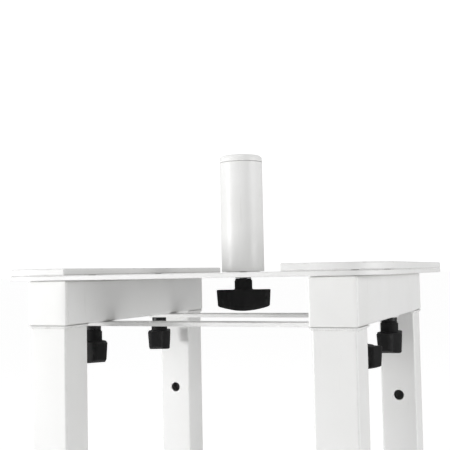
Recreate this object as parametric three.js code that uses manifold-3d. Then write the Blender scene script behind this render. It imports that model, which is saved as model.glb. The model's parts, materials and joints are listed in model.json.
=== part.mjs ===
// A sculptor's stand: two welded side frames on telescoping legs, joined by a top plate and two
// cross bars, with an upright post that turns on the plate.
// Millimetres, +Z up, front towards -Y. The origin is on the floor, under the post's axis.

import * as THREE from "three";
import { mergeVertices } from "three/addons/utils/BufferGeometryUtils.js";
import Module from "manifold-3d";

const wasm = await Module();
wasm.setup();

// ---- driving dimensions ----

const GAP = 0.3; // between pieces that rest on each other
const SINK = 1; // how far joined shapes run into each other, and cutters past a face
const INNER_RADIUS = 0.5; // the least that a tube's inside corner is rounded

const FRAME = 300; // the square that the side frames fill, outside to outside
const HEADER = { size: 40, wall: 2, radius: 2.4 };
const OUTER_LEG = { size: 36.5, wall: 1.5, radius: 2 };
const INNER_LEG = { size: 28, wall: 1.5, radius: 1.8, length: 410 };
const HEADER_BOTTOM = 580;

const LEG_HOLE = { radius: 5.25, first: 88, pitch: 100, count: 5 };
const BUTTON_HOLE = 1; // which leg hole the button sits in at the lowest setting
const BUTTON = { radius: 4.2, flange: 5.5, flangeHeight: 1, tip: 20, dome: 2, root: 10.8 };
const CLIP = { width: 10, thickness: 0.8, front: 10.2, back: -11.8, drop: 45, rise: 5 };

const PLATE = { size: 350, thickness: 4, radius: 50 };
const PANEL = { width: 79, thickness: 6, pocket: 4 };
const BAR = { length: 276, width: 20, thickness: 4 };
const CLAMP_Y = 72; // of the corner knobs and cross bars, from the middle
const CAP = { flange: 3.5, plug: 15, edge: 1.4 };

const FOOT = { size: 37.5, height: 10, plug: 20, radius: 5, plugRadius: 1.5 };
const BUSH = { flange: 3, sleeve: 30, radius: 2.5 };

const POST = { radius: 21.2, wall: 2, height: 116, capHeight: 6.5, capEdge: 6, capPlug: 12 };
const THRUST = { radius: 17, hole: 5, thickness: 1 };
const SOCKET = 15; // height of the threaded plug in the post's foot
const STUD_SPARE = 2; // of the plug, above the middle knob's stud

const STUD = { radius: 3.8, bore: 4.1, clearance: 4.5 }; // an M8 stud and its holes
const WASHER = { radius: 8, postThickness: 1.6, cornerThickness: 3.4 };
const KNOB = {
  neck: 8,
  neckHeight: 1.7,
  stem: 8.8,
  stemHeight: 11, // with the neck
  length: 54,
  hubLength: 32,
  hubWidth: 25,
  lobeWidth: 16,
  lobeOffset: 2.7, // of each lobe, to opposite sides, so that the fingers get a hold
  lobeRadius: 5,
  height: 20.8,
  endHeight: 16,
  seat: 10, // how far up the grip the stud reaches down
};
const NUT = { radius: 7, flange: 3.5 };

// ---- heights ----

const SLIDE_BOTTOM = FOOT.height + GAP;
const OUTER_BOTTOM = SLIDE_BOTTOM + BUSH.flange + GAP;
const HEADER_TOP = HEADER_BOTTOM + HEADER.size;
const PLATE_BOTTOM = HEADER_TOP + GAP;
const PLATE_TOP = PLATE_BOTTOM + PLATE.thickness;
const PANEL_BOTTOM = PLATE_TOP + GAP;
const BAR_BOTTOM = HEADER_BOTTOM - GAP - BAR.thickness;
const BUTTON_Z = HEADER_BOTTOM - LEG_HOLE.first - BUTTON_HOLE * LEG_HOLE.pitch;

const SIDE_X = (FRAME - HEADER.size) / 2;
const PANEL_INNER = PLATE.size / 2 - PANEL.width;

// ---- materials ----

function finish(color, roughness, metalness) {
  return new THREE.MeshStandardMaterial({ color, roughness, metalness });
}

const whitePaint = finish(0xf2f2f0, 0.45, 0.0);
const whitePlastic = finish(0xf4f4f2, 0.4, 0.0);
const blackPlastic = finish(0x1c1c1c, 0.55, 0.0);
const blackRubber = finish(0x262626, 0.85, 0.0);
const blackSteel = finish(0x2a2a2b, 0.5, 0.8);
const plainSteel = finish(0xb4b6b8, 0.35, 0.9);

// ---- joining and cutting ----

function toSolid(geometry) {
  const bare = geometry.clone();
  bare.deleteAttribute("normal");
  bare.deleteAttribute("uv");
  const merged = mergeVertices(bare, 1e-4);
  return new wasm.Manifold(
    new wasm.Mesh({
      numProp: 3,
      vertProperties: new Float32Array(merged.attributes.position.array),
      triVerts: new Uint32Array(merged.index.array),
    }),
  );
}

function toGeometry(solid) {
  const mesh = solid.getMesh();
  const geometry = new THREE.BufferGeometry();
  const positions = new THREE.BufferAttribute(new Float32Array(mesh.vertProperties), 3);
  geometry.setAttribute("position", positions);
  geometry.setIndex(new THREE.BufferAttribute(new Uint32Array(mesh.triVerts), 1));
  geometry.computeVertexNormals();
  return geometry;
}

function combine(operation, first, others) {
  let solid = toSolid(first);
  for (const other of others) {
    solid = solid[operation](toSolid(other));
  }
  return toGeometry(solid);
}

const cut = (first, ...tools) => combine("subtract", first, tools);
const join = (first, ...others) => combine("add", first, others);
const overlap = (first, ...others) => combine("intersect", first, others);

// ---- basic shapes ----

function roundedRect(width, depth, radius) {
  const x = width / 2 - radius;
  const y = depth / 2 - radius;
  const shape = new THREE.Shape();
  shape.absarc(x, y, radius, 0, Math.PI / 2);
  shape.absarc(-x, y, radius, Math.PI / 2, Math.PI);
  shape.absarc(-x, -y, radius, Math.PI, 1.5 * Math.PI);
  shape.absarc(x, -y, radius, 1.5 * Math.PI, 2 * Math.PI);
  shape.closePath();
  return shape;
}

// An upright slab of the outline, standing from one height to another.
function slab(shape, bottom, top, curveSegments = 2) {
  const depth = top - bottom;
  const geometry = new THREE.ExtrudeGeometry(shape, { depth, bevelEnabled: false, curveSegments });
  return geometry.translate(0, 0, bottom);
}

function squareTube(section, bottom, top) {
  const { size, wall, radius } = section;
  const shape = roundedRect(size, size, radius);
  const inside = size - 2 * wall;
  shape.holes.push(roundedRect(inside, inside, Math.max(radius - wall, INNER_RADIUS)));
  return slab(shape, bottom, top);
}

function rod(radius, bottom, top, sides = 16) {
  const geometry = new THREE.CylinderGeometry(radius, radius, top - bottom, sides);
  return geometry.rotateX(Math.PI / 2).translate(0, 0, (bottom + top) / 2);
}

function ring(outer, inner, bottom, top, sides = 16) {
  return cut(rod(outer, bottom, top, sides), rod(inner, bottom - SINK, top + SINK, sides));
}

// A turned piece: [radius, height] points from the axis round to the axis.
function turned(points, sides = 32) {
  const profile = points.map(([radius, height]) => new THREE.Vector2(radius, height));
  return new THREE.LatheGeometry(profile, sides).rotateX(Math.PI / 2);
}

// Points of a turned profile's rounded top edge: a quarter circle from its side to its top.
function roundEdge(centreRadius, centreHeight, radius, steps) {
  return Array.from({ length: steps + 1 }, (_, step) => {
    const angle = (step / steps) * (Math.PI / 2);
    return [centreRadius + radius * Math.cos(angle), centreHeight + radius * Math.sin(angle)];
  });
}

// ---- the model ----

const stand = new THREE.Group();

function place(name, geometry, material, parent = stand, position = [0, 0, 0]) {
  const mesh = new THREE.Mesh(geometry, material);
  mesh.name = name;
  mesh.position.set(...position);
  parent.add(mesh);
  return mesh;
}

const SIDES = [
  ["left", -1],
  ["right", 1],
];
const ENDS = [
  ["front", -1],
  ["rear", 1],
];
const CORNERS = ENDS.flatMap(([end, y]) => SIDES.map(([side, x]) => [`${end}_${side}`, x, y]));

// The header is the horizontal tube of a side frame, lying along Y.
function headerTube() {
  const half = FRAME / 2 - CAP.flange - GAP;
  const tube = squareTube(HEADER, -half, half).rotateX(Math.PI / 2);
  const bores = [-CLAMP_Y, CLAMP_Y].map((y) =>
    rod(STUD.clearance, -HEADER.size, HEADER.size).translate(0, y, 0),
  );
  return cut(tube, ...bores);
}

// A header's end cap, with its face towards -Y and its plug inside the tube.
function headerCap() {
  const inside = HEADER.size - 2 * HEADER.wall - 2 * GAP;
  const flat = HEADER.size - 2 * CAP.edge;
  const pillow = new THREE.ExtrudeGeometry(roundedRect(flat, flat, HEADER.radius - CAP.edge), {
    depth: 2 * CAP.flange,
    bevelSize: CAP.edge,
    bevelThickness: CAP.edge,
    bevelSegments: 3,
    curveSegments: 2,
  });
  pillow.translate(0, 0, CAP.edge - CAP.flange);
  const behind = new THREE.BoxGeometry(2 * HEADER.size, 2 * HEADER.size, 4 * HEADER.size);
  const flange = cut(pillow, behind.translate(0, 0, 2 * HEADER.size));
  const plug = slab(roundedRect(inside, inside, INNER_RADIUS), -SINK, CAP.plug);
  return join(flange, plug).rotateX(Math.PI / 2).rotateZ(Math.PI);
}

// The upper half of a leg. Its row of holes faces +Y.
function outerLeg() {
  const tube = squareTube(OUTER_LEG, OUTER_BOTTOM, HEADER_BOTTOM - GAP);
  const drills = Array.from({ length: LEG_HOLE.count }, (_, index) => {
    const height = HEADER_BOTTOM - LEG_HOLE.first - index * LEG_HOLE.pitch;
    const drill = rod(LEG_HOLE.radius, 0, OUTER_LEG.size);
    return drill.rotateX(-Math.PI / 2).translate(0, 0, height);
  });
  return cut(tube, ...drills);
}

function innerLeg() {
  const tube = squareTube(INNER_LEG, SLIDE_BOTTOM, SLIDE_BOTTOM + INNER_LEG.length);
  const drill = rod(BUTTON.radius + GAP, 0, INNER_LEG.size).rotateX(-Math.PI / 2);
  return cut(tube, drill.translate(0, 0, BUTTON_Z));
}

// The plastic bush that guides the inner leg: a flange under the outer leg and a sleeve in it.
function legBush() {
  const outside = OUTER_LEG.size - 2 * OUTER_LEG.wall - 2 * GAP;
  const inside = INNER_LEG.size + 2 * GAP;
  const flangeTop = SLIDE_BOTTOM + BUSH.flange;
  const flange = slab(
    roundedRect(OUTER_LEG.size, OUTER_LEG.size, OUTER_LEG.radius),
    SLIDE_BOTTOM,
    flangeTop,
  );
  const sleeve = slab(
    roundedRect(outside, outside, BUSH.radius),
    flangeTop - SINK,
    flangeTop + BUSH.sleeve,
  );
  const way = slab(roundedRect(inside, inside, INNER_LEG.radius + GAP), 0, HEADER_BOTTOM);
  return cut(join(flange, sleeve), way);
}

function foot() {
  const inside = INNER_LEG.size - 2 * INNER_LEG.wall - 2 * GAP;
  const pad = slab(roundedRect(FOOT.size, FOOT.size, FOOT.radius), 0, FOOT.height);
  const plug = slab(
    roundedRect(inside, inside, FOOT.plugRadius),
    FOOT.height - SINK,
    FOOT.height + FOOT.plug,
  );
  return join(pad, plug);
}

// The button that locks the leg: a flanged pin along +Y, with a domed tip.
function snapButton() {
  const dome = roundEdge(BUTTON.radius - BUTTON.dome, BUTTON.tip - BUTTON.dome, BUTTON.dome, 2);
  const flangeTop = BUTTON.root + BUTTON.flangeHeight;
  const profile = [
    [0, BUTTON.root],
    [BUTTON.flange, BUTTON.root],
    [BUTTON.flange, flangeTop],
    [BUTTON.radius, flangeTop],
    ...dome,
    [0, BUTTON.tip],
  ];
  return turned(profile, 16).rotateX(-Math.PI / 2).translate(0, 0, BUTTON_Z);
}

// The button's spring: a steel strip bent to a U, between the button and the leg's far wall.
function snapSpring() {
  const middle = (CLIP.front + CLIP.back) / 2;
  const outer = (CLIP.front - CLIP.back) / 2;
  const strip = new THREE.Shape();
  strip.moveTo(CLIP.front, CLIP.rise);
  strip.absarc(middle, -CLIP.drop, outer, 0, -Math.PI, true);
  strip.lineTo(CLIP.back, CLIP.rise);
  strip.lineTo(CLIP.back + CLIP.thickness, CLIP.rise);
  strip.absarc(middle, -CLIP.drop, outer - CLIP.thickness, -Math.PI, 0, false);
  strip.lineTo(CLIP.front - CLIP.thickness, CLIP.rise);
  strip.closePath();
  const geometry = slab(strip, -CLIP.width / 2, CLIP.width / 2, 6);
  return geometry.rotateX(Math.PI / 2).rotateZ(Math.PI / 2).translate(0, 0, BUTTON_Z);
}

function topPlate() {
  const sheet = slab(
    roundedRect(PLATE.size, PLATE.size, PLATE.radius),
    PLATE_BOTTOM,
    PLATE_TOP,
    5,
  );
  const spots = [[0, 0], ...CORNERS.map(([, x, y]) => [x * SIDE_X, y * CLAMP_Y])];
  const bores = spots.map(([x, y]) => rod(STUD.clearance, 0, 2 * HEADER_TOP).translate(x, y, 0));
  return cut(sheet, ...bores);
}

// A side panel: an edge strip of the plate's outline. It has a blind pocket over each knob.
function sidePanel(side) {
  const sheet = slab(
    roundedRect(PLATE.size, PLATE.size, PLATE.radius),
    PANEL_BOTTOM,
    PANEL_BOTTOM + PANEL.thickness,
    5,
  );
  const middle = side * (PANEL_INNER + PANEL.width);
  const strip = new THREE.BoxGeometry(2 * PANEL.width, 2 * PLATE.size, 4 * HEADER_TOP);
  const pockets = [-CLAMP_Y, CLAMP_Y].map((y) =>
    rod(NUT.radius + GAP, HEADER_TOP, PANEL_BOTTOM + PANEL.pocket).translate(side * SIDE_X, y, 0),
  );
  return cut(overlap(sheet, strip.translate(middle, 0, 0)), ...pockets);
}

function crossBar() {
  const bar = new THREE.BoxGeometry(BAR.length, BAR.width, BAR.thickness);
  const bores = SIDES.map(([, x]) =>
    rod(STUD.clearance, -BAR.width, BAR.width).translate(x * SIDE_X, 0, 0),
  );
  return cut(bar, ...bores);
}

// The turning post: a tube with a domed cap above and a threaded plug in its foot.
const POST_BOTTOM = PLATE_TOP + 2 * GAP;
const POST_TOP = PLATE_TOP + POST.height;
const CAP_SEAM = POST_TOP - POST.capHeight;
const POST_INSIDE = POST.radius - POST.wall - GAP;
const SOCKET_BOTTOM = PLATE_TOP + GAP + THRUST.thickness + GAP;

function postTube() {
  return ring(POST.radius, POST.radius - POST.wall, POST_BOTTOM, CAP_SEAM - GAP, 32);
}

function postCap() {
  const { radius, capEdge, capPlug } = POST;
  const profile = [
    [0, CAP_SEAM - capPlug],
    [POST_INSIDE, CAP_SEAM - capPlug],
    [POST_INSIDE, CAP_SEAM],
    [radius, CAP_SEAM],
    ...roundEdge(radius - capEdge, POST_TOP - capEdge, capEdge, 4),
    [0, POST_TOP],
  ];
  return turned(profile);
}

// A knob's grip, under a stem whose top is at height 0: an oval hub with a lobe at each X end.
function knobGrip() {
  const headTop = -KNOB.stemHeight;
  const bottom = headTop - KNOB.height;
  const oval = new THREE.Shape();
  oval.absellipse(0, 0, KNOB.hubLength / 2, KNOB.hubWidth / 2, 0, 2 * Math.PI);
  const hub = slab(oval, bottom - SINK, headTop, 12);
  const lobes = [-1, 1].map((end) => {
    const outline = roundedRect(KNOB.length / 2, KNOB.lobeWidth, KNOB.lobeRadius);
    const lobe = slab(outline, bottom - SINK, headTop);
    return lobe.translate((end * KNOB.length) / 4, -end * KNOB.lobeOffset, 0);
  });

  // the front view: level on top, square at the ends and arched below
  const arch = new THREE.Shape();
  arch.moveTo(-KNOB.length / 2, headTop);
  arch.lineTo(-KNOB.length / 2, headTop - KNOB.endHeight);
  const sag = headTop - 2 * KNOB.height + KNOB.endHeight;
  arch.quadraticCurveTo(0, sag, KNOB.length / 2, headTop - KNOB.endHeight);
  arch.lineTo(KNOB.length / 2, headTop);
  arch.closePath();
  const front = slab(arch, -KNOB.length, KNOB.length, 10).rotateX(Math.PI / 2);

  const neck = rod(KNOB.neck, headTop - SINK, 0);
  const stem = rod(KNOB.stem, headTop - SINK, -KNOB.neckHeight, 20);
  const bore = rod(STUD.bore, headTop - KNOB.seat, SINK);
  return cut(join(overlap(join(hub, ...lobes), front), stem, neck), bore);
}

// A hand knob and its washer, under a seat. Its grip is turned from lying along X.
function handKnob({ name, x, y, seat, studTop, washerThickness, turn }) {
  const group = new THREE.Group();
  group.position.set(x, y, seat);
  group.rotation.z = turn;
  stand.add(group);
  const washerTop = -GAP;
  const washerBottom = washerTop - washerThickness;
  const stemTop = washerBottom - GAP;
  const studBottom = stemTop - KNOB.stemHeight - KNOB.seat + GAP;
  const washer = ring(WASHER.radius, STUD.clearance, washerBottom, washerTop);
  place(`knob_washer_${name}`, washer, blackSteel, group);
  place(`knob_grip_${name}`, knobGrip(), blackPlastic, group, [0, 0, stemTop]);
  place(`knob_stud_${name}`, rod(STUD.radius, studBottom, studTop - seat), plainSteel, group);
}

for (const [side, x] of SIDES) {
  const sideFrame = new THREE.Group();
  sideFrame.position.x = x * SIDE_X;
  stand.add(sideFrame);
  const middle = HEADER_BOTTOM + HEADER.size / 2;
  place(`header_${side}`, headerTube(), whitePaint, sideFrame, [0, 0, middle]);
  place(`side_panel_${side}`, sidePanel(x), whitePaint);

  for (const [end, y] of ENDS) {
    const cap = place(`header_cap_${end}_${side}`, headerCap(), whitePlastic, sideFrame);
    cap.position.set(0, y * (FRAME / 2 - CAP.flange), middle);
    cap.rotation.z = y < 0 ? 0 : Math.PI;

    const leg = new THREE.Group();
    leg.position.y = y * SIDE_X;
    leg.rotation.z = y < 0 ? 0 : Math.PI;
    sideFrame.add(leg);
    place(`outer_leg_${end}_${side}`, outerLeg(), whitePaint, leg);
    place(`leg_bush_${end}_${side}`, legBush(), blackPlastic, leg);
    place(`inner_leg_${end}_${side}`, innerLeg(), whitePaint, leg);
    place(`foot_${end}_${side}`, foot(), blackRubber, leg);
    place(`snap_button_${end}_${side}`, snapButton(), plainSteel, leg);
    place(`snap_spring_${end}_${side}`, snapSpring(), plainSteel, leg);
  }
}

place("top_plate", topPlate(), whitePaint);

for (const [end, y] of ENDS) {
  const height = BAR_BOTTOM + BAR.thickness / 2;
  place(`cross_bar_${end}`, crossBar(), whitePaint, stand, [0, y * CLAMP_Y, height]);
}

place("post_tube", postTube(), whitePaint);
place("post_cap", postCap(), whitePlastic);
const socket = ring(POST_INSIDE, STUD.bore, SOCKET_BOTTOM, SOCKET_BOTTOM + SOCKET, 32);
place("post_socket", socket, plainSteel);
const thrustBottom = PLATE_TOP + GAP;
const thrust = ring(THRUST.radius, THRUST.hole, thrustBottom, thrustBottom + THRUST.thickness, 24);
place("post_thrust_washer", thrust, whitePlastic);

handKnob({
  name: "post",
  x: 0,
  y: 0,
  seat: PLATE_BOTTOM,
  studTop: SOCKET_BOTTOM + SOCKET - STUD_SPARE,
  washerThickness: WASHER.postThickness,
  turn: 0.3,
});

const KNOB_TURN = { front_left: 2.5, front_right: 2.58, rear_left: 1.94, rear_right: 1.66 };
const nutTop = PANEL_BOTTOM + NUT.flange;
for (const [corner, x, y] of CORNERS) {
  handKnob({
    name: corner,
    x: x * SIDE_X,
    y: y * CLAMP_Y,
    seat: BAR_BOTTOM,
    studTop: nutTop,
    washerThickness: WASHER.cornerThickness,
    turn: KNOB_TURN[corner],
  });
  const nut = ring(NUT.radius, STUD.bore, PANEL_BOTTOM, nutTop);
  place(`panel_nut_${corner}`, nut, plainSteel, stand, [x * SIDE_X, y * CLAMP_Y, 0]);
}

export default stand;
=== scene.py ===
"""A sculptor's stand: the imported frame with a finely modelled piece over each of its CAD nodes.

Metres, +Z up, front towards -Y. The origin is on the floor, under the post's axis.
"""

import json
import math

import bmesh
import bpy
from mathutils import Matrix, Vector

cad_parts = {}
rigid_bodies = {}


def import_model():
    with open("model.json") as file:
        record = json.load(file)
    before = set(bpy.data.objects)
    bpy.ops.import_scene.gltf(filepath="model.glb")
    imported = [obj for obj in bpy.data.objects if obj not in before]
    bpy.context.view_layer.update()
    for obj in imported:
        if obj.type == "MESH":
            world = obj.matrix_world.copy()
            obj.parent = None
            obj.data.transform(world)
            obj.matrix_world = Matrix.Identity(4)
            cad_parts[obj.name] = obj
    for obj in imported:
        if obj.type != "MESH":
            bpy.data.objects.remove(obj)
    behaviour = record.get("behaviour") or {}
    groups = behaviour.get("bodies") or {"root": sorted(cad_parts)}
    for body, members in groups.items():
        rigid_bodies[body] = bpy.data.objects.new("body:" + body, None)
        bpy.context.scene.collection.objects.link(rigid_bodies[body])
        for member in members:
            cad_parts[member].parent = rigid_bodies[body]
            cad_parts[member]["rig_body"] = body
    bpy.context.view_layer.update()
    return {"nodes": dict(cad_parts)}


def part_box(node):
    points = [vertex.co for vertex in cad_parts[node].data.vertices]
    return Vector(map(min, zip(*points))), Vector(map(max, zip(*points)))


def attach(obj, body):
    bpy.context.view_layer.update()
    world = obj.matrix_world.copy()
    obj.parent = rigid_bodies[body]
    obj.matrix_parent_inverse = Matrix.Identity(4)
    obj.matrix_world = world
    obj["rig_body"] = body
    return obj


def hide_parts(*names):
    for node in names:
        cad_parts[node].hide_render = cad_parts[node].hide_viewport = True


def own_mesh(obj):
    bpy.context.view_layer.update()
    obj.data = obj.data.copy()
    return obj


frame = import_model()

SIDES = ("left", "right")
ENDS = (("front", -1), ("rear", 1))
CORNERS = [(f"{end}_{side}", y) for end, y in ENDS for side in SIDES]

# ---- sizes that the frame's boxes don't give ----

SHARP = 0.0002  # the least radius of a corner
EDGE = 0.0004  # how far a sheared or sawn edge is rounded under its paint
SOFT = 0.0002  # the rounding of a small moulded detail
PLUG_GAP = 0.0003  # between a plug or sleeve and its tube
RIB_DEPTH = 0.0006  # how far the ribs of a plug stand out
STUD_BORE = 0.0041
STUD_CLEARANCE = 0.0045

HEADER_WALL = 0.002
HEADER_RADIUS = 0.0024

CAP_FLANGE = 0.0035
CAP_FACE = 0.0045  # from the cap's rim in to the flat of its face
CAP_MIDDLE = 0.009
CAP_TAPER = 0.0002
CAP_CROWN = 0.0003
CAP_EDGE = 0.0014
CAP_RIBS = (0.0052, 0.0082, 0.0112)  # their depths under the face
CAP_RIB_WIDTH = 0.0016
CAP_PLUG_WALL = 0.002
CAP_PLUG_END = 0.0005
CAP_PLATE = 0.001  # how much further than the flange the cap is solid

LEG_WALL = 0.0015
OUTER_LEG_RADIUS = 0.002
INNER_LEG_RADIUS = 0.0018
HOLE_RADIUS = 0.00525
HOLE_FIRST = 0.088  # from the header down to the first leg hole
HOLE_PITCH = 0.1
HOLE_COUNT = 5
HOLE_FLARE = 0.0005

BUSH_FLANGE = 0.003
BUSH_GAP = 0.0006  # how much wider than the inner leg its bore is
BUSH_EDGE = 0.0005
BUSH_LIP = 0.0004
BUSH_LEAD_IN = 0.0006

FOOT_HEIGHT = 0.01
FOOT_RADIUS = 0.005
FOOT_EDGE = 0.0012
FOOT_MIDDLE = 0.013
FOOT_RIM = (0.0055, 0.006)  # the width of the rim round the hollow sole, at its foot and its top
FOOT_HOLLOW = 0.0012
FOOT_RIM_EDGE = 0.0004
FOOT_UNDERCUT = 0.0006
FOOT_SOLE_EDGE = 0.0008
FOOT_GROOVE = (0.0006, 0.0007)  # the depth and half the width of the groove round the pad
FOOT_GROOVE_EDGE = 0.0003
FOOT_RIB_PITCH = 0.004
FOOT_RIB = 0.001  # half the width of a rib
FOOT_PLUG_WALL = 0.006
FOOT_PLUG_END = 0.0006

BUTTON_BORE = 0.0045
BUTTON_PIN = 0.0042
BUTTON_FLANGE = 0.001
BUTTON_EDGE = 0.0003
BUTTON_DOME = 0.0018
BUTTON_SHOULDER = (0.0012, 0.0008)  # the radius of the tip's flat, and how far below it the pin ends
BUTTON_SHOULDER_EDGE = 0.001
BUTTON_MIDDLE = (0.001, 0.0004)  # the radii of the rings that fill its base and its tip
SPRING_THICKNESS = 0.0008
SPRING_BEND_STEPS = 16

WELD_REACH = 0.0021
WELD_ROOT = 0.0006  # how far the bead goes into the leg
WELD_RIPPLE = (0.0022, 0.00016)  # the pitch and height of its ripples
WELD_WAVE = (0.017, 0.00012)  # and of its slow changes in width
WELD_SECTION = ((1, 0), (0.72, -0.46), (0.42, -0.82), (0, -1.1))  # in parts of its reach

PLATE_RADIUS = 0.05
PLATE_STEPS = 16
PANEL_RADIUS = 0.0008  # of the corners on its straight side
PANEL_POCKET = (0.0073, 0.004)  # radius and depth, over each corner knob
BAR_RADIUS = 0.0006
BAR_STEPS = 3

POST_WALL = 0.002
POST_SIDES = 96
POST_CAP_HEIGHT = 0.0065
POST_CAP_EDGE = 0.0035
POST_CAP_MIDDLE = 0.014
POST_CAP_SEAM = 0.0001
POST_CAP_PLUG_WALL = 0.004
POST_CAP_PLUG_END = 0.0008
POST_CAP_RIB = (0.0052, 0.0008, 0.0004)  # the depth of its rib under the seam, half its width, its height
SOCKET_EDGE = 0.0006
SOCKET_SIDES = 64
THRUST_HOLE = 0.005
THRUST_EDGE = 0.0003

THREAD_PITCH = 0.00125
THREAD_DEPTH = 0.0006
THREAD_SIDES = 24
THREAD_STEPS = 6  # the rings in one turn of thread

NUT_FLANGE = (0.0009, 0.0013)  # the flange's thickness at its rim and at the hexagon
NUT_FLANGE_EDGES = (0.0002, 0.0004)
NUT_SLOPE = 0.002
NUT_INSET = 0.0002
NUT_EDGE = 0.0006

KNOB_SIDES = 128
KNOB_LENGTH = 0.054
KNOB_STEM = 0.0088
KNOB_NECK = 0.008
KNOB_NECK_HEIGHT = 0.0017
KNOB_STEM_HEIGHT = 0.011
KNOB_HEIGHT = 0.0208
KNOB_END_HEIGHT = 0.016
KNOB_SEAT = 0.01
KNOB_HUB = (0.016, 0.0125)  # half its length and width
KNOB_LOBE = (0.0135, 0.008)
KNOB_LOBE_OFFSET = 0.0027
KNOB_LOBE_RADIUS = 0.005
KNOB_REACH = (0.0005, 0.0324)  # all of the plan's outline is this far from its axis
KNOB_BLEND = 0.0016  # how softly the hub runs into a lobe
KNOB_TAPER = 0.0011
KNOB_FILLET = 0.0012
KNOB_BOTTOM_EDGE = 0.0014
KNOB_TOP_EDGE = 0.0009
KNOB_STEM_EDGE = 0.0003
KNOB_NECK_EDGE = 0.0001
KNOB_UNDERSIDE = (0.0095, 0.008, 0.0065, 0.005, 0.0035)  # the insets of the rings that fill it
WASHER_EDGE = {"post": 0.0003, "corner": 0.0004}
KNOB_TURN = {
    "post": 0.3,
    "front_left": 2.5,
    "front_right": 2.58,
    "rear_left": 1.94,
    "rear_right": 1.66,
}

QUARTER = math.pi / 2


def add_object(name, data):
    """A new object in the scene."""
    piece = bpy.data.objects.new(name, data)
    bpy.context.scene.collection.objects.link(piece)
    return piece


# ---- camera ----

LENS = 66.94
SENSOR_WIDTH = 36
CAMERA_AT = (0.2961, -0.7813, 0.6246)
CAMERA_YAW = 0.3828
CAMERA_PITCH = 0.0564
CAMERA_ROLL = -0.0201

camera = add_object("camera", bpy.data.cameras.new("camera"))
camera.data.lens = LENS
camera.data.sensor_width = SENSOR_WIDTH
bpy.context.scene.camera = camera
aim = Matrix.Rotation(CAMERA_YAW, 4, "Z") @ Matrix.Rotation(QUARTER + CAMERA_PITCH, 4, "X")
camera.matrix_world = Matrix.Translation(CAMERA_AT) @ aim @ Matrix.Rotation(CAMERA_ROLL, 4, "Z")

# ---- materials ----

PAINT = (0.83, 0.83, 0.825)
PAINT_PATCH = (0.8, 0.8, 0.79)
PAINT_SCUFF = (0.52, 0.51, 0.49)
PAINT_SPECK = (0.3, 0.28, 0.26)
PAINT_WORN = (0.5, 0.49, 0.47)
# painted shade: the colour laid into corners and contact lines between pieces
PAINT_CORNER_SHADE = (0.36, 0.34, 0.31)
SCUFF_STRETCH = (1, 1, 0.12)
SPECKS_PER_METRE = 28
SPECK_LEAST = 0.72  # the cells of noise above this have a speck


class Graph:
    """A material's nodes, added one at a time and joined by what they take in."""

    def __init__(self, name):
        self.material = bpy.data.materials.new(name)
        self.material.use_nodes = True
        self.tree = self.material.node_tree
        self.shader = self.tree.nodes["Principled BSDF"]

    def feed(self, socket, value):
        """Joins the socket to another node's output, or gives it a plain value."""
        if isinstance(value, bpy.types.NodeSocket):
            self.tree.links.new(value, socket)
        else:
            socket.default_value = value

    def set(self, node, **inputs):
        for name, value in inputs.items():
            self.feed(node.inputs[name.replace("_", " ")], value)
        return node

    def add(self, kind, **inputs):
        return self.set(self.tree.nodes.new("ShaderNode" + kind), **inputs)

    def math(self, operation, first, second):
        node = self.add("Math")
        node.operation = operation
        self.feed(node.inputs[0], first)
        self.feed(node.inputs[1], second)
        return node.outputs["Value"]

    def vector(self, operation, first, second):
        node = self.add("VectorMath")
        node.operation = operation
        self.feed(node.inputs[0], first)
        self.feed(node.inputs[1], second)
        return node.outputs

    def place(self, stretch=(1, 1, 1)):
        """A point on the piece, shifted by a distance that is different on each piece."""
        spot = self.add("TexCoord").outputs["Object"]
        shift = self.add("ObjectInfo").outputs["Random"]
        shifted = self.vector("ADD", spot, shift)["Vector"]
        return self.vector("MULTIPLY", shifted, stretch)["Vector"]

    def noise(self, size, detail=3.0, stretch=(1, 1, 1)):
        """Noise whose lumps are about size across."""
        node = self.add("TexNoise", Vector=self.place(stretch), Scale=1 / size, Detail=detail)
        return node.outputs["Fac"]

    def ramp(self, factor, low, high, start=0.0, end=1.0):
        """The number that goes from start to end as factor goes from low to high."""
        node = self.add("MapRange", Value=factor)
        self.set(node, From_Min=low, From_Max=high, To_Min=start, To_Max=end)
        return node.outputs["Result"]

    def mix(self, factor, first, second):
        """A colour between the first, which is a colour or an output, and the second colour."""
        node = self.add("MixRGB", Fac=factor)
        self.feed(node.inputs[1], first if isinstance(first, bpy.types.NodeSocket) else (*first, 1))
        self.feed(node.inputs[2], (*second, 1))
        return node.outputs["Color"]

    def layer(self, base, mask, strength, colour):
        """The base with that much of a colour over it where the mask is 1."""
        return self.mix(self.math("MULTIPLY", mask, strength), base, colour)

    def edges(self):
        """1 on the piece's rounded edges, where the shading turns within a face, 0 on its flats."""
        geometry = self.add("NewGeometry").outputs
        turn = self.vector("DOT_PRODUCT", geometry["Normal"], geometry["True Normal"])["Value"]
        return self.ramp(turn, low=0.999, high=0.99)

    def crevice_shade(self, reach):
        """1 deep in a corner between pieces, 0 in the open: the mask where shade is painted into a
        colour.
        """
        node = self.add("AmbientOcclusion", Distance=reach)
        node.samples = 2
        return self.ramp(node.outputs["AO"], low=0.75, high=0.25)

    def bump(self, height, depth, normal=None):
        node = self.add("Bump", Height=height, Distance=depth, Strength=1.0)
        if normal:
            self.set(node, Normal=normal)
        return node.outputs["Normal"]


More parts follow.
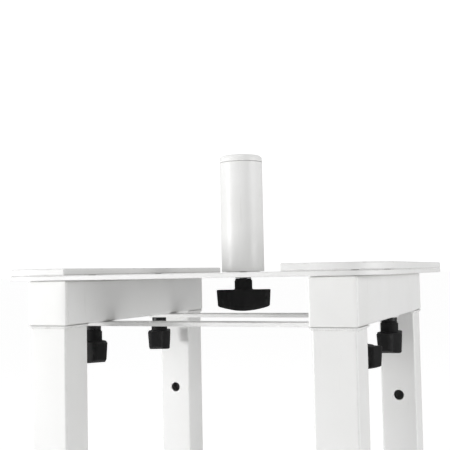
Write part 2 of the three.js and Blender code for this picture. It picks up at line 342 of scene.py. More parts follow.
def moulded(name, *, colour, worn, roughness, grain, depth, metallic=0.0, gloss=0.5, blotch=0.8):
    """A finish with a grain of that size and depth, blotches and worn edges."""
    graph = Graph(name)
    blotches = graph.ramp(graph.noise(size=0.03), low=0.35, high=0.65)
    base = graph.mix(blotches, colour, [blotch * channel for channel in colour])
    rubbed = graph.ramp(graph.noise(size=0.004), low=0.4, high=0.7)
    base = graph.mix(graph.math("MULTIPLY", graph.edges(), rubbed), base, worn)
    marks = graph.noise(size=0.006)
    rough = graph.ramp(marks, low=0.3, high=0.7, start=roughness - 0.06, end=roughness + 0.08)
    graph.set(graph.shader, Base_Color=base, Roughness=rough, Metallic=metallic)
    graph.set(graph.shader, Specular_IOR_Level=gloss)
    graph.set(graph.shader, Normal=graph.bump(graph.noise(grain, detail=2.0), depth))
    return graph.material


def painted(name):
    """White satin powder coat: an orange-peel skin, thin scuffs, a few specks and painted shade in its
    corners.
    """
    graph = Graph(name)
    base = graph.mix(graph.ramp(graph.noise(size=0.12), low=0.4, high=0.65), PAINT, PAINT_PATCH)

    streaks = graph.noise(size=0.004, detail=4.0, stretch=SCUFF_STRETCH)
    streaks = graph.ramp(streaks, low=0.6, high=0.68)
    scuffed = graph.ramp(graph.noise(size=0.06), low=0.57, high=0.68)
    scuffs = graph.math("MULTIPLY", streaks, scuffed)
    base = graph.layer(base, scuffs, strength=0.14, colour=PAINT_SCUFF)

    cells = graph.add("TexVoronoi", Vector=graph.place(), Scale=SPECKS_PER_METRE).outputs
    dots = graph.ramp(cells["Distance"], low=0.022, high=0.012)
    shade = graph.add("RGBToBW", Color=cells["Color"]).outputs["Val"]
    chosen = graph.math("GREATER_THAN", shade, SPECK_LEAST)
    specks = graph.math("MULTIPLY", dots, chosen)
    base = graph.layer(base, specks, strength=0.8, colour=PAINT_SPECK)

    rubbed = graph.ramp(graph.noise(size=0.007), low=0.52, high=0.66)
    wear = graph.math("MULTIPLY", graph.edges(), rubbed)
    base = graph.layer(base, wear, strength=0.35, colour=PAINT_WORN)
    # Painted shade: an ambient-occlusion mask darkens the paint in corners and along contact lines
    # between pieces.
    base = graph.layer(base, graph.crevice_shade(reach=0.006), strength=0.25, colour=PAINT_CORNER_SHADE)

    rough = graph.ramp(graph.noise(size=0.02), low=0.35, high=0.65, start=0.34, end=0.46)
    graph.set(graph.shader, Base_Color=base, Roughness=rough)
    orange_peel = graph.bump(graph.noise(size=0.0022, detail=2.0), depth=0.00006)
    grain = graph.noise(size=0.00035, detail=1.0)
    graph.set(graph.shader, Normal=graph.bump(grain, depth=0.000008, normal=orange_peel))
    return graph.material


def plated(name, *, colour, tint, roughness, stretch=(1, 1, 1)):
    """Bright metal with fine marks along its length and a patchy tint."""
    graph = Graph(name)
    base = graph.mix(graph.ramp(graph.noise(size=0.012), low=0.35, high=0.7), colour, tint)
    marks = graph.noise(size=0.0012, detail=4.0, stretch=stretch)
    rough = graph.ramp(marks, low=0.3, high=0.7, start=roughness - 0.1, end=roughness + 0.12)
    graph.set(graph.shader, Base_Color=base, Roughness=rough, Metallic=1.0)
    graph.set(graph.shader, Normal=graph.bump(marks, depth=0.00001))
    return graph.material


FINISHES = {
    "frame_paint": painted("powder_coat"),
    "cap_plastic": moulded(
        "white_plastic",
        colour=(0.84, 0.84, 0.83),
        worn=(0.9, 0.9, 0.89),
        roughness=0.36,
        grain=0.0007,
        depth=0.00001,
        blotch=0.98,
    ),
    "slide_plastic": moulded(
        "nylon",
        colour=(0.78, 0.77, 0.73),
        worn=(0.85, 0.84, 0.8),
        roughness=0.42,
        grain=0.0009,
        depth=0.00001,
        blotch=0.95,
    ),
    "bush_plastic": moulded(
        "bush_plastic",
        colour=(0.02, 0.02, 0.021),
        worn=(0.09, 0.09, 0.09),
        roughness=0.5,
        grain=0.0006,
        depth=0.00002,
    ),
    "foot_rubber": moulded(
        "rubber",
        colour=(0.022, 0.022, 0.022),
        worn=(0.075, 0.073, 0.07),
        roughness=0.78,
        grain=0.0008,
        depth=0.00005,
    ),
    "knob_plastic": moulded(
        "knob_plastic",
        colour=(0.016, 0.016, 0.0163),
        worn=(0.036, 0.036, 0.036),
        roughness=0.6,
        grain=0.0005,
        depth=0.00003,
        gloss=0.08,
    ),
    "black_steel": moulded(
        "black_oxide",
        colour=(0.012, 0.012, 0.013),
        worn=(0.05, 0.05, 0.05),
        roughness=0.42,
        grain=0.0004,
        depth=0.000006,
        metallic=0.3,
        gloss=0.3,
    ),
    "plain_steel": plated("zinc", colour=(0.66, 0.67, 0.68), tint=(0.6, 0.59, 0.5), roughness=0.3),
    "spring_steel": plated(
        "spring_steel",
        colour=(0.36, 0.36, 0.38),
        tint=(0.24, 0.22, 0.24),
        roughness=0.34,
        stretch=(1, 1, 0.1),
    ),
}

# ---- shaping ----

LARGE_CORNER = 0.002  # a profile's corner of this radius or more gets twice the steps
DRILL_SIDES = 32
CUT_PAST = 0.001  # how far a drill goes past the nut
CREASE = math.radians(38)


def rounded_rect(width, depth, radii, steps=6):
    """Rings of a rectangle with rounded corners, counted anticlockwise from +X +Y."""

    def ring(inset):
        points = []
        for index, (x, y) in enumerate(((1, 1), (-1, 1), (-1, -1), (1, -1))):
            radius = max(radii[index] - inset, SHARP)
            centre_x = x * (width / 2 - inset - radius)
            centre_y = y * (depth / 2 - inset - radius)
            for step in range(steps + 1):
                angle = (index + step / steps) * QUARTER
                points.append((centre_x + radius * math.cos(angle), centre_y + radius * math.sin(angle)))
        return points

    return ring


def circle(radius, sides=48):
    """Rings of a circle."""

    def ring(inset):
        reach = radius - inset
        turns = [2 * math.pi * index / sides for index in range(sides)]
        return [(reach * math.cos(turn), reach * math.sin(turn)) for turn in turns]

    return ring


def eased(corners, closed, steps=3):
    """The points of a profile whose corners are (inset, height, radius)."""
    points = []
    last = len(corners) - 1
    for index, (inset, height, radius) in enumerate(corners):
        here = Vector((inset, height))
        if not radius or (not closed and index in (0, last)):
            points.append(here)
            continue
        back = (Vector(corners[index - 1][:2]) - here).normalized()
        ahead = (Vector(corners[(index + 1) % len(corners)][:2]) - here).normalized()
        half = back.angle(ahead) / 2
        centre = here + (back + ahead).normalized() * radius / math.sin(half)
        start = here + back * radius / math.tan(half) - centre
        end = here + ahead * radius / math.tan(half) - centre
        count = steps if radius < LARGE_CORNER else 2 * steps
        points.extend(centre + radius * start.slerp(end, step / count) for step in range(count + 1))
    return points


def skin(name, rings, closed):
    """A solid through rings of points. Its ends are filled, or it is closed on itself."""
    count = len(rings[0])
    faces = []
    for index in range(len(rings) if closed else len(rings) - 1):
        low = index * count
        high = (index + 1) % len(rings) * count
        for side in range(count):
            turn = (side + 1) % count
            faces.append((low + side, low + turn, high + turn, high + side))
    if not closed:
        faces.append(tuple(range(count)))
        faces.append(tuple(range((len(rings) - 1) * count, len(rings) * count)))
    mesh = bpy.data.meshes.new(name)
    mesh.from_pydata([point for ring in rings for point in ring], [], faces)
    shape = bmesh.new()
    shape.from_mesh(mesh)
    bmesh.ops.recalc_face_normals(shape, faces=shape.faces)
    shape.to_mesh(mesh)
    shape.free()
    return add_object(name, mesh)


def turned(name, outline, corners, closed=False):
    """A solid with the outline's rings at the insets and heights of the profile."""
    rings = []
    for inset, height in eased(corners, closed):
        rings.append([(x, y, height) for x, y in outline(inset)])
    return skin(name, rings, closed)


def carve(piece, cutters, operation="DIFFERENCE"):
    """Cuts the cutters out of the piece, or adds them to it, and removes them."""
    for cutter in cutters:
        modifier = piece.modifiers.new("carve", "BOOLEAN")
        modifier.operation = operation
        modifier.solver = "EXACT"
        modifier.object = cutter
    graph = bpy.context.evaluated_depsgraph_get()
    mesh = bpy.data.meshes.new_from_object(piece.evaluated_get(graph))
    piece.modifiers.clear()
    piece.data = mesh
    for cutter in cutters:
        bpy.data.objects.remove(cutter)
    return piece


def drill(radius, bottom, top, at=(0, 0), flare=0.0):
    """A cutter for a round hole along Z. Its top flares out where it leaves the sheet."""
    corners = [(0, bottom, 0), (0, top, 0)]
    if flare:
        corners = [
            (0, bottom, 0),
            (0, top - flare, 0),
            (-flare / 3, top - flare / 3, 0),
            (-flare, top, 0),
            (-flare, top + flare, 0),
        ]
    cutter = turned("drill", circle(radius, DRILL_SIDES), corners)
    cutter.data.transform(Matrix.Translation((*at, 0)))
    return cutter


def finish(piece, slot, body):
    """Gives the piece its shading, finish and body."""
    piece.data.shade_smooth()
    piece.data.set_sharp_from_angle(angle=CREASE)
    even = piece.modifiers.new("even_shading", "WEIGHTED_NORMAL")
    even.keep_sharp = True
    piece.data.materials.clear()
    piece.data.materials.append(FINISHES[slot])
    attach(piece, body)


def stand_in(node, name, mesh, slot, place):
    """The finished piece with that mesh, in place of a CAD node."""
    piece = add_object(name, mesh)
    piece.matrix_world = place
    finish(piece, slot, frame["nodes"][node]["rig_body"])
    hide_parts(node)
    return piece


def take_mesh(piece):
    """The piece's mesh, for pieces that share it. The piece itself goes."""
    mesh = piece.data
    bpy.data.objects.remove(piece)
    return mesh


def placed(x, y, z, turn=0.0):
    """The place at that point, turned about Z."""
    return Matrix.Translation((x, y, z)) @ Matrix.Rotation(turn, 4, "Z")


def middle(node):
    low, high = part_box(node)
    return (low + high) / 2


def extent(node):
    low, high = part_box(node)
    return high - low


def bottom_of(node):
    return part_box(node)[0].z


def tube_profile(length, wall, start=0.0):
    return [
        (0, start, EDGE),
        (0, start + length, EDGE),
        (wall, start + length, EDGE),
        (wall, start, EDGE),
    ]


def ring_mesh(node, hole, edge, sides=48):
    """A flat ring the size of a node, standing on height 0."""
    size = extent(node)
    radius = size.x / 2
    corners = [
        (0, 0, edge),
        (0, size.z, edge),
        (radius - hole, size.z, edge),
        (radius - hole, 0, edge),
    ]
    return take_mesh(turned("ring", circle(radius, sides), corners, True))


# ---- side frames ----

header_size = extent("header_left")
header_bottom = bottom_of("header_left")
clamp_y = middle("knob_grip_rear_left").y


def header_mesh():
    outline = rounded_rect(header_size.x, header_size.z, [HEADER_RADIUS] * 4)
    profile = tube_profile(header_size.y, HEADER_WALL, -header_size.y / 2)
    tube = turned("header", outline, profile, True)
    tube.data.transform(Matrix.Rotation(QUARTER, 4, "X"))
    reach = header_size.z
    bores = [drill(STUD_CLEARANCE, -reach, reach, (0, y)) for y in (-clamp_y, clamp_y)]
    return take_mesh(carve(tube, bores))


def header_cap_mesh():
    """A pillow-faced cap with its face at height 0 and its ribbed plug below."""
    size = header_size.x
    depth = extent("header_cap_front_left").y
    plug = HEADER_WALL + PLUG_GAP
    root = plug + RIB_DEPTH
    inside = plug + CAP_PLUG_WALL
    corners = [
        (CAP_MIDDLE, 0, 0),
        (CAP_FACE, 0, 0),
        (CAP_TAPER, -CAP_CROWN, CAP_EDGE),
        (0, -CAP_FLANGE, SOFT),
        (plug, -CAP_FLANGE, 0),
    ]
    for rib in CAP_RIBS:
        corners += [
            (root, -rib, SOFT),
            (plug, -rib - CAP_RIB_WIDTH / 2, SOFT),
            (root, -rib - CAP_RIB_WIDTH, SOFT),
        ]
    corners += [
        (root, -depth, CAP_PLUG_END),
        (inside, -depth, SOFT),
        (inside, -CAP_FLANGE - CAP_PLATE, 0),
    ]
    cap = turned("cap", rounded_rect(size, size, [HEADER_RADIUS] * 4), corners)
    cap.data.transform(Matrix.Rotation(QUARTER, 4, "X"))
    return take_mesh(cap)


def leg_mesh(size, length, radius, bore, heights):
    """A leg tube standing on height 0, with holes in the wall towards +Y."""
    tube = turned("leg", rounded_rect(size, size, [radius] * 4), tube_profile(length, LEG_WALL), True)
    cutters = []
    for height in heights:
        cutter = drill(bore, 0, size / 2, flare=HOLE_FLARE)
        cutter.data.transform(placed(0, 0, height) @ Matrix.Rotation(-QUARTER, 4, "X"))
        cutters.append(cutter)
    return take_mesh(carve(tube, cutters))


def bush_mesh():
    """A sleeve between the legs, standing on height 0, with its flange under the outer leg."""
    size = extent("leg_bush_front_left")
    sleeve = LEG_WALL + PLUG_GAP
    bore = (size.x - extent("inner_leg_front_left").x - BUSH_GAP) / 2
    corners = [
        (0, 0, BUSH_EDGE),
        (0, BUSH_FLANGE, BUSH_EDGE),
        (sleeve, BUSH_FLANGE, 0),
        (sleeve, size.z, BUSH_EDGE),
        (bore, size.z, BUSH_LIP),
        (bore, 0, BUSH_LEAD_IN),
    ]
    return take_mesh(turned("bush", rounded_rect(size.x, size.y, [OUTER_LEG_RADIUS] * 4), corners, True))


def foot_mesh():
    """A rubber foot: a pad with a groove round it and a hollow sole, and a ribbed plug above."""
    size = extent("foot_front_left")
    plug = (size.x - extent("inner_leg_front_left").x) / 2 + LEG_WALL + PLUG_GAP
    root = plug + RIB_DEPTH
    groove = FOOT_HEIGHT / 2
    groove_depth, groove_half = FOOT_GROOVE
    corners = [
        (FOOT_MIDDLE, FOOT_HOLLOW, 0),
        (FOOT_RIM[1], FOOT_HOLLOW, FOOT_RIM_EDGE),
        (FOOT_RIM[0], 0, FOOT_RIM_EDGE),
        (FOOT_UNDERCUT, 0, FOOT_SOLE_EDGE),
        (0, groove - groove_half, FOOT_GROOVE_EDGE),
        (groove_depth, groove, SOFT),
        (0, groove + groove_half, FOOT_GROOVE_EDGE),
        (0, FOOT_HEIGHT, FOOT_EDGE),
        (plug, FOOT_HEIGHT, 0),
    ]
    rib = FOOT_HEIGHT + FOOT_RIB_PITCH
    while rib < size.z - FOOT_RIB_PITCH:
        corners += [(root, rib - FOOT_RIB, SOFT), (plug, rib, SOFT), (root, rib + FOOT_RIB, SOFT)]
        rib += FOOT_RIB_PITCH
    corners += [(root, size.z, FOOT_PLUG_END), (plug + FOOT_PLUG_WALL, size.z, 0)]
    return take_mesh(turned("foot", rounded_rect(size.x, size.y, [FOOT_RADIUS] * 4), corners))


def button_mesh():
    """The lock button along +Z: a flange, a pin and a domed tip."""
    size = extent("snap_button_front_left")
    flange = size.x / 2
    pin = flange - BUTTON_PIN
    tip, drop = BUTTON_SHOULDER
    corners = [
        (flange - BUTTON_MIDDLE[0], 0, 0),
        (0, 0, BUTTON_EDGE),
        (0, BUTTON_FLANGE, SOFT),
        (pin, BUTTON_FLANGE, SOFT),
        (pin, size.y - drop, BUTTON_DOME),
        (flange - tip, size.y, BUTTON_SHOULDER_EDGE),
        (flange - BUTTON_MIDDLE[1], size.y, 0),
    ]
    return take_mesh(turned("button", circle(flange, DRILL_SIDES), corners))


def spring_mesh():
    """The button's spring: a strip bent to a U, open upwards, with its arms along Z."""
    size = extent("snap_spring_front_left")
    bend = (size.y - SPRING_THICKNESS) / 2
    drop = size.z - size.y / 2
    turns = [math.pi * step / SPRING_BEND_STEPS for step in range(SPRING_BEND_STEPS + 1)]
    path = [(bend, drop), (bend, drop / 2)]
    path += [(bend * math.cos(turn), -bend * math.sin(turn)) for turn in turns]
    path += [(-bend, drop / 2), (-bend, drop)]
    section = rounded_rect(size.x, SPRING_THICKNESS, [SPRING_THICKNESS / 3] * 4, 2)(0)
    rings = []
    for index, (y, z) in enumerate(path):
        before = Vector(path[max(index - 1, 0)])
        after = Vector(path[min(index + 1, len(path) - 1)])
        along = (after - before).normalized()
        across = Vector((along.y, -along.x))
        rings.append([(x, y + across.x * offset, z + across.y * offset) for x, offset in section])
    strip = skin("spring", rings, False)
    strip.data.transform(placed(0, 0, size.y / 2))
    return take_mesh(strip)


def weld_mesh():
    """The bead round the top of a leg, in the corner under the header, with its top at height 0."""
    size = extent("outer_leg_front_left").x
    ripple, ripple_height = WELD_RIPPLE
    wave, wave_height = WELD_WAVE
    around = []
    corner_points = rounded_rect(size, size, [OUTER_LEG_RADIUS] * 4)(0)
    for index, point in enumerate(corner_points):
        start = Vector(point)
        gap = Vector(corner_points[(index + 1) % len(corner_points)]) - start
        count = max(1, round(gap.length / (ripple / 4)))
        around.extend(start + gap * step / count for step in range(count))
    travelled = 0.0
    rings = []
    for index, point in enumerate(around):
        along = around[(index + 1) % len(around)] - around[index - 1]
        outward = Vector((along.y, -along.x)).normalized()
        travelled += (point - around[index - 1]).length
        reach = WELD_REACH + ripple_height * math.sin(2 * math.pi * travelled / ripple)
        reach += wave_height * math.sin(2 * math.pi * travelled / wave)
        section = [(reach * out, reach * height) for out, height in WELD_SECTION]
        section = [(-WELD_ROOT, 0), *section, (-WELD_ROOT, section[-1][1])]
        rings.append([(*(point + outward * out), height) for out, height in section])
    return take_mesh(skin("weld", rings, True))


outer_size = extent("outer_leg_front_left")
outer_bottom = bottom_of("outer_leg_front_left")
inner_size = extent("inner_leg_front_left")
inner_bottom = bottom_of("inner_leg_front_left")
button_height = middle("snap_button_front_left").z
holes = [header_bottom - HOLE_FIRST - HOLE_PITCH * index - outer_bottom for index in range(HOLE_COUNT)]
inner_holes = [button_height - inner_bottom]

header_shape = header_mesh()
cap_shape = header_cap_mesh()
outer_shape = leg_mesh(outer_size.x, outer_size.z, OUTER_LEG_RADIUS, HOLE_RADIUS, holes)
inner_shape = leg_mesh(inner_size.x, inner_size.z, INNER_LEG_RADIUS, BUTTON_BORE, inner_holes)
bush_shape = bush_mesh()
foot_shape = foot_mesh()
button_shape = button_mesh()
spring_shape = spring_mesh()
weld_shape = weld_mesh()

for side in SIDES:
    header = f"header_{side}"
    stand_in(header, f"header_tube_{side}", header_shape, "frame_paint", placed(*middle(header)))

for corner, y in CORNERS:
    turn = 0 if y < 0 else math.pi
    leg = middle(f"outer_leg_{corner}")

    cap = f"header_cap_{corner}"
    low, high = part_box(cap)
    at = placed(leg.x, low.y if y < 0 else high.y, middle(cap).z, turn)
    stand_in(cap, f"end_cap_{corner}", cap_shape, "cap_plastic", at)

    at = placed(leg.x, leg.y, outer_bottom, turn)
    stand_in(f"outer_leg_{corner}", f"leg_tube_{corner}", outer_shape, "frame_paint", at)
    at = placed(leg.x, leg.y, inner_bottom, turn)
    stand_in(f"inner_leg_{corner}", f"leg_slide_{corner}", inner_shape, "frame_paint", at)
    at = placed(leg.x, leg.y, bottom_of(f"leg_bush_{corner}"), turn)
    stand_in(f"leg_bush_{corner}", f"bush_{corner}", bush_shape, "bush_plastic", at)
    at = placed(leg.x, leg.y, 0, turn)
    stand_in(f"foot_{corner}", f"rubber_foot_{corner}", foot_shape, "foot_rubber", at)

    button = f"snap_button_{corner}"
    low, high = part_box(button)
    lying = Matrix.Rotation(-QUARTER, 4, "X")
    at = placed(leg.x, low.y if y < 0 else high.y, button_height, turn) @ lying
    stand_in(button, f"lock_button_{corner}", button_shape, "plain_steel", at)

    spring = f"snap_spring_{corner}"
    low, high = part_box(spring)
    at = placed(leg.x, middle(spring).y, low.z, turn)
    strip = stand_in(spring, f"lock_spring_{corner}", spring_shape.copy(), "spring_steel", at)
    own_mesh(strip)

    bead = add_object(f"weld_{corner}", weld_shape)
    bead.matrix_world = placed(leg.x, leg.y, header_bottom, turn)
    finish(bead, "frame_paint", "frame")

# ---- top plate, panels and cross bars ----


def sheet(name, size, radii, steps):
    """A flat rolled sheet, centred on the origin, with rounded edges."""
    flat = min(size.x, size.y) / 4
    round_edge = size.z / 5
    profile = [
        (flat, -size.z / 2, 0),
        (0, -size.z / 2, round_edge),
        (0, size.z / 2, round_edge),
        (flat, size.z / 2, 0),
    ]
    return turned(name, rounded_rect(size.x, size.y, radii, steps), profile)


plate_size = extent("top_plate")
plate = sheet("plate", plate_size, [PLATE_RADIUS] * 4, PLATE_STEPS)
spots = [(0, 0)] + [tuple(middle(f"knob_grip_{corner}"))[:2] for corner, _ in CORNERS]
carve(plate, [drill(STUD_CLEARANCE, -plate_size.z, plate_size.z, spot) for spot in spots])
stand_in("top_plate", "plate", take_mesh(plate), "frame_paint", placed(*middle("top_plate")))

for side in SIDES:
    node = f"side_panel_{side}"
    size = extent(node)
    centre = middle(node)
    radii = [PLATE_RADIUS, PANEL_RADIUS, PANEL_RADIUS, PLATE_RADIUS]
    if side == "left":
        radii = [PANEL_RADIUS, PLATE_RADIUS, PLATE_RADIUS, PANEL_RADIUS]
    panel = sheet("panel", size, radii, PLATE_STEPS)
    radius, depth = PANEL_POCKET
    pockets = []
    for end, _ in ENDS:
        spot = middle(f"knob_grip_{end}_{side}") - centre
        pockets.append(drill(radius, -size.z, depth - size.z / 2, (spot.x, spot.y)))
    carve(panel, pockets)
    stand_in(node, f"panel_{side}", take_mesh(panel), "frame_paint", placed(*centre))

for end, _ in ENDS:
    node = f"cross_bar_{end}"
    size = extent(node)
    bar = sheet("bar", size, [BAR_RADIUS] * 4, BAR_STEPS)
    reach = middle("header_right").x
    carve(bar, [drill(STUD_CLEARANCE, -size.z, size.z, (spot, 0)) for spot in (-reach, reach)])
    stand_in(node, f"bar_{end}", take_mesh(bar), "frame_paint", placed(*middle(node)))

# ---- post ----

tube_size = extent("post_tube")
post_outline = circle(tube_size.x / 2, POST_SIDES)
tube = turned("tube", post_outline, tube_profile(tube_size.z, POST_WALL), True)
at = placed(0, 0, bottom_of("post_tube"))
stand_in("post_tube", "post_pipe", take_mesh(tube), "frame_paint", at)


def post_cap_mesh():
    """The cap at its own height: a rounded lid on the tube and a plug with one rib in it."""
    bottom, top = (corner.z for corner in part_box("post_cap"))
    seam = top - POST_CAP_HEIGHT
    depth, half, height = POST_CAP_RIB
    plug = POST_WALL + PLUG_GAP
    root = plug + height
    corners = [
        (plug + POST_CAP_PLUG_WALL, bottom, 0),
        (root, bottom, POST_CAP_PLUG_END),
        (root, seam - depth - half, SOFT),
        (plug, seam - depth, SOFT),
        (root, seam - depth + half, SOFT),
        (root, seam, 0),
        (0, seam, POST_CAP_SEAM),
        (0, top, POST_CAP_EDGE),
        (POST_CAP_MIDDLE, top, 0),
    ]
    return take_mesh(turned("cap", post_outline, corners))


stand_in("post_cap", "post_end_cap", post_cap_mesh(), "cap_plastic", Matrix.Identity(4))

socket = ring_mesh("post_socket", STUD_BORE, SOCKET_EDGE, SOCKET_SIDES)
at = placed(0, 0, bottom_of("post_socket"))
stand_in("post_socket", "post_plug", socket, "plain_steel", at)

disc = ring_mesh("post_thrust_washer", THRUST_HOLE, THRUST_EDGE)
at = placed(0, 0, bottom_of("post_thrust_washer"))
stand_in("post_thrust_washer", "post_disc", disc, "slide_plastic", at)

# ---- knobs ----


def knob_distance(x, y):
    """How far outside the grip's plan a point is: an oval hub with an offset lobe at each end."""
    length, width = KNOB_HUB
    near = math.hypot(x / length, y / width)
    slope = math.hypot(x / length**2, y / width**2)
    distance = near * (near - 1) / slope if slope else -width
    for end in (-1, 1):
        across = abs(x - end * KNOB_LENGTH / 4) - KNOB_LOBE[0] + KNOB_LOBE_RADIUS
        along = abs(y + end * KNOB_LOBE_OFFSET) - KNOB_LOBE[1] + KNOB_LOBE_RADIUS
        lobe = math.hypot(max(across, 0), max(along, 0)) + min(max(across, along), 0) - KNOB_LOBE_RADIUS
        overlap = max(KNOB_BLEND - abs(distance - lobe), 0) / KNOB_BLEND
        distance = min(distance, lobe) - overlap * overlap * KNOB_BLEND / 4
    return distance


def knob_plan(inset):
    """The ring of points that far inside the grip's plan, each found by halving its distance."""
    halvings = 24
    points = []
    for side in range(KNOB_SIDES):
        angle = 2 * math.pi * side / KNOB_SIDES
        x, y = math.cos(angle), math.sin(angle)
        inside, outside = KNOB_REACH
        for _ in range(halvings):
            reach = (inside + outside) / 2
            if knob_distance(reach * x, reach * y) < -inset:
                inside = reach
            else:
                outside = reach
        points.append((inside * x, inside * y))
    return points


def grip_mesh():
    """A grip under a stem whose top is at height 0, with a bore for its stud."""
    top = -KNOB_STEM_HEIGHT
    bottom = top - KNOB_HEIGHT
    corners = [(inset, bottom, 0) for inset in KNOB_UNDERSIDE]
    corners += [
        (KNOB_TAPER, bottom, KNOB_BOTTOM_EDGE),
        (0, top, KNOB_TOP_EDGE),
        (KNOB_FILLET, top, 0),
    ]
    rings = []
    arch = 1 - KNOB_END_HEIGHT / KNOB_HEIGHT
    for inset, height in eased(corners, False):
        ring = []
        for x, y in knob_plan(inset):
            drop = 1 - arch * (2 * x / KNOB_LENGTH) ** 2
            ring.append((x, y, top + (height - top) * drop))
        rings.append(ring)
    neck = KNOB_STEM - KNOB_NECK
    bore = KNOB_STEM - STUD_BORE
    stem = [
        (-KNOB_FILLET, top, 0),
        (-KNOB_FILLET / 3, top + KNOB_FILLET / 3, 0),
        (0, top + KNOB_FILLET, 0),
        (0, -KNOB_NECK_HEIGHT, KNOB_STEM_EDGE),
        (neck, -KNOB_NECK_HEIGHT, KNOB_NECK_EDGE),
        (neck, 0, KNOB_STEM_EDGE),
        (bore, 0, KNOB_STEM_EDGE),
        (bore, top - KNOB_SEAT, 0),
    ]
    for inset, height in eased(stem, False):
        rings.append([(x, y, height) for x, y in circle(KNOB_STEM, KNOB_SIDES)(inset)])
    return take_mesh(skin("grip", rings, False))


def stud_mesh(node):
    """A threaded rod the size of a node, standing on height 0. Its thread fades out at both ends."""
    size = extent(node)
    radius = size.x / 2
    rings = []
    for index in range(round(size.z / THREAD_PITCH * THREAD_STEPS) + 1):
        height = min(index * THREAD_PITCH / THREAD_STEPS, size.z)
        fade = min(height, size.z - height, THREAD_PITCH) / THREAD_PITCH
        ring = []
        for side in range(THREAD_SIDES):
            turn = side / THREAD_SIDES
            phase = (height / THREAD_PITCH - turn) % 1
            groove = abs(2 * phase - 1) * THREAD_DEPTH
            reach = radius - groove - (1 - fade) * (THREAD_DEPTH - groove)
            angle = 2 * math.pi * turn
            ring.append((reach * math.cos(angle), reach * math.sin(angle), height))
        rings.append(ring)
    return take_mesh(skin("stud", rings, False))


def nut_mesh():
    """A hexagon nut on a round flange, standing on height 0."""
    size = extent("panel_nut_front_left")
    radius = size.x / 2
    flange_corners = [
        (NUT_SLOPE, 0, 0),
        (0, 0, NUT_FLANGE_EDGES[0]),
        (0, NUT_FLANGE[0], NUT_FLANGE_EDGES[1]),
        (NUT_SLOPE, NUT_FLANGE[1], 0),
    ]
    hexagon_corners = [
        (NUT_SLOPE, NUT_INSET, 0),
        (NUT_INSET, NUT_INSET, 0),
        (NUT_INSET, size.z, NUT_EDGE),
        (NUT_SLOPE, size.z, 0),
    ]
    nut = turned("flange", circle(radius), flange_corners)
    carve(nut, [turned("hexagon", circle(radius, 6), hexagon_corners)], "UNION")
    carve(nut, [drill(STUD_BORE, -CUT_PAST, size.z + CUT_PAST)])
    return take_mesh(nut)


grip_shape = grip_mesh()
nut_shape = nut_mesh()
stud_shapes = {"post": stud_mesh("knob_stud_post"), "corner": stud_mesh("knob_stud_front_left")}
washer_shapes = {
    "post": ring_mesh("knob_washer_post", STUD_CLEARANCE, WASHER_EDGE["post"]),
    "corner": ring_mesh("knob_washer_front_left", STUD_CLEARANCE, WASHER_EDGE["corner"]),
}

for name, turn in KNOB_TURN.items():
    kind = "post" if name == "post" else "corner"
    axis = middle(f"knob_stud_{name}")
    grip = f"knob_grip_{name}"
    at = placed(axis.x, axis.y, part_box(grip)[1].z, turn)
    stand_in(grip, f"grip_{name}", grip_shape, "knob_plastic", at)
    washer = f"knob_washer_{name}"
    at = placed(axis.x, axis.y, bottom_of(washer), turn)
    stand_in(washer, f"washer_{name}", washer_shapes[kind], "black_steel", at)
    stud = f"knob_stud_{name}"
    at = placed(axis.x, axis.y, bottom_of(stud), turn)
    stand_in(stud, f"stud_{name}", stud_shapes[kind], "plain_steel", at)
    if kind == "corner":
        nut = f"panel_nut_{name}"
        at = placed(axis.x, axis.y, bottom_of(nut), turn)
        stand_in(nut, f"nut_{name}", nut_shape, "plain_steel", at)

# ---- floor and light ----

FLOOR_SIZE = 400.0
FLOOR_DROP = 0.0003
FLOOR_COLOUR = (0.8, 0.8, 0.8, 1)
FLOOR_ROUGHNESS = 0.8
FLOOR_GLOW = 0.56
AMBIENT = 0.52
BACKDROP = 1.1
WHITE = (1, 1, 1, 1)
TARGET = Vector((0, 0, 0.5))

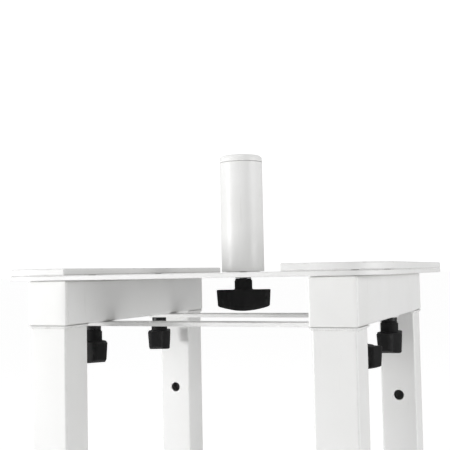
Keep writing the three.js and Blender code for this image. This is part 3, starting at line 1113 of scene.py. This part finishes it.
ground = bpy.data.meshes.new("floor")
half = FLOOR_SIZE / 2
floor_corners = [(-half, -half, 0), (half, -half, 0), (half, half, 0), (-half, half, 0)]
ground.from_pydata(floor_corners, [], [(0, 1, 2, 3)])
floor = add_object("floor", ground)
floor.location.z = -FLOOR_DROP
pale = Graph("pale_floor")
glow = pale.math("MULTIPLY", pale.add("LightPath").outputs["Is Camera Ray"], FLOOR_GLOW)
pale.set(pale.shader, Base_Color=FLOOR_COLOUR, Roughness=FLOOR_ROUGHNESS)
pale.set(pale.shader, Emission_Color=WHITE, Emission_Strength=glow)
ground.materials.append(pale.material)


def lamp(name, *, azimuth, elevation, distance, size, power):
    """A square soft light that faces the stand. Azimuth 0 is in front of it and 90 to its right."""
    light = bpy.data.lights.new(name, "AREA")
    light.size = size
    light.energy = power
    piece = add_object(name, light)
    around, up = math.radians(azimuth), math.radians(elevation)
    away = Vector((math.sin(around) * math.cos(up), -math.cos(around) * math.cos(up), math.sin(up)))
    piece.location = TARGET + away * distance
    piece.rotation_euler = away.to_track_quat("Z", "Y").to_euler()


lamp("key", azimuth=-52, elevation=0, distance=2.6, size=0.5, power=42)
lamp("side", azimuth=84, elevation=1, distance=2.4, size=1.2, power=22)
lamp("above", azimuth=-20, elevation=75, distance=2.4, size=1.6, power=12)

world = bpy.data.worlds.new("studio")
bpy.context.scene.world = world
world.use_nodes = True
sky = world.node_tree
ambient = sky.nodes["Background"]
ambient.inputs["Color"].default_value = WHITE
ambient.inputs["Strength"].default_value = AMBIENT
backdrop = sky.nodes.new("ShaderNodeBackground")
backdrop.inputs["Color"].default_value = WHITE
backdrop.inputs["Strength"].default_value = BACKDROP
choose = sky.nodes.new("ShaderNodeMixShader")
seen = sky.nodes.new("ShaderNodeLightPath")
sky.links.new(seen.outputs["Is Camera Ray"], choose.inputs["Fac"])
sky.links.new(ambient.outputs["Background"], choose.inputs[1])
sky.links.new(backdrop.outputs["Background"], choose.inputs[2])
sky.links.new(choose.outputs["Shader"], sky.nodes["World Output"].inputs["Surface"])
bpy.context.scene.view_settings.view_transform = "Standard"
